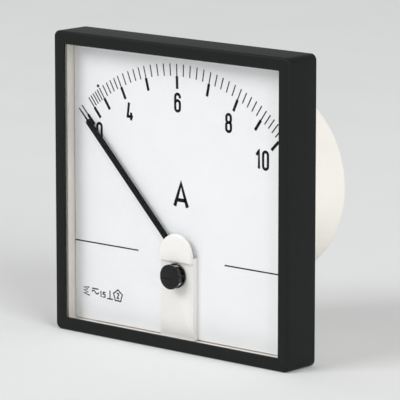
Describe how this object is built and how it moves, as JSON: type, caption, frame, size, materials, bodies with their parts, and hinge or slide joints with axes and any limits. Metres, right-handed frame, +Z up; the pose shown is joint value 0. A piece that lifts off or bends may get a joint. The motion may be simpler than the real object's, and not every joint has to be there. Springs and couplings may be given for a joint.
{
  "type": "analog panel meter",
  "caption": "Square panel ammeter with a black bezel, glazed quadrant dial, needle, zero adjuster and round rear barrel with terminals.",
  "frame": {"origin": "centre of the plane where the bezel's back seats on the panel, on the axis of the round barrel", "axes": "+X to the reader's right, +Y into the panel and away from the reader, +Z up"},
  "size_m": [0.096, 0.063, 0.096],
  "materials": {
    "bezel_plastic": "satin black moulding",
    "window_glass": "clear",
    "seal_rubber": "matt",
    "ivory_plastic": "satin ivory moulding",
    "cover_plastic": "satin off-white moulding",
    "dial_paint": "matt white paint on aluminium",
    "dial_ink": "matt printing ink",
    "knob_plastic": "gloss black moulding",
    "pointer_paint": "matt black paint on aluminium",
    "aluminium": "mill finish",
    "brass": "turned",
    "bronze": "rolled strip",
    "copper_wire": "enamelled wire",
    "zinc_steel": "zinc plated",
    "soft_iron": "annealed sheet",
    "magnet": "sintered",
    "movement_plastic": "black moulding"
  },
  "bodies": {
    "case": {"bezel_frame": "bezel_plastic", "window_pane": "window_glass", "window_seal": "seal_rubber", "meter_case": "ivory_plastic", "dial_plate": "dial_paint", "dial_scale": "dial_ink", "dial_screws": "zinc_steel", "hub_cover": "cover_plastic", "front_jewel_screw": "brass", "rear_jewel_screw": "brass", "jewel_lock_nuts": "brass", "damping_magnet": "magnet", "fixed_iron": "soft_iron", "coil_bobbin": "movement_plastic", "coil_winding": "copper_wire", "coil_leads": "copper_wire", "movement_base": "movement_plastic", "base_screws": "zinc_steel", "bridge_pillars": "zinc_steel", "front_bridge": "brass", "rear_bridge": "brass", "bridge_screws": "zinc_steel", "pointer_stops": "zinc_steel", "stop_sleeves": "seal_rubber", "terminal_studs": "brass", "terminal_washers": "zinc_steel", "terminal_nuts": "brass", "wire_washers": "zinc_steel", "wire_nuts": "brass"},
    "adjuster": {"zero_adjuster": "knob_plastic", "adjuster_collar": "knob_plastic"},
    "zero_lever": {"zero_lever": "brass", "hairspring": "bronze"},
    "moving_system": {"spindle": "zinc_steel", "spring_collet": "brass", "pointer": "pointer_paint", "pointer_hub": "aluminium", "balance_weights": "brass", "damping_vane": "aluminium", "moving_iron": "soft_iron"}
  },
  "joints": [
    {"name": "adjuster_turn", "type": "hinge", "parent": "case", "child": "adjuster", "pos_m": [0, -0.0125, -0.0249], "axis": [0, 1, 0], "range_deg": [-20, 20]},
    {"name": "zero_lever_turn", "type": "hinge", "parent": "case", "child": "zero_lever", "pos_m": [0, -0.0072, -0.0185], "axis": [0, 1, 0], "range_deg": [-4, 4]},
    {"name": "pointer_swing", "type": "hinge", "parent": "zero_lever", "child": "moving_system", "pos_m": [0, 0, -0.0185], "axis": [0, 1, 0], "range_deg": [-0.8, 90], "stiffness_Nm_per_rad": 0.000025, "deforming": ["hairspring"]}
  ],
  "couplings": [
    {"joint": "zero_lever_turn", "follows": "adjuster_turn", "ratio": 0.2}
  ]
}
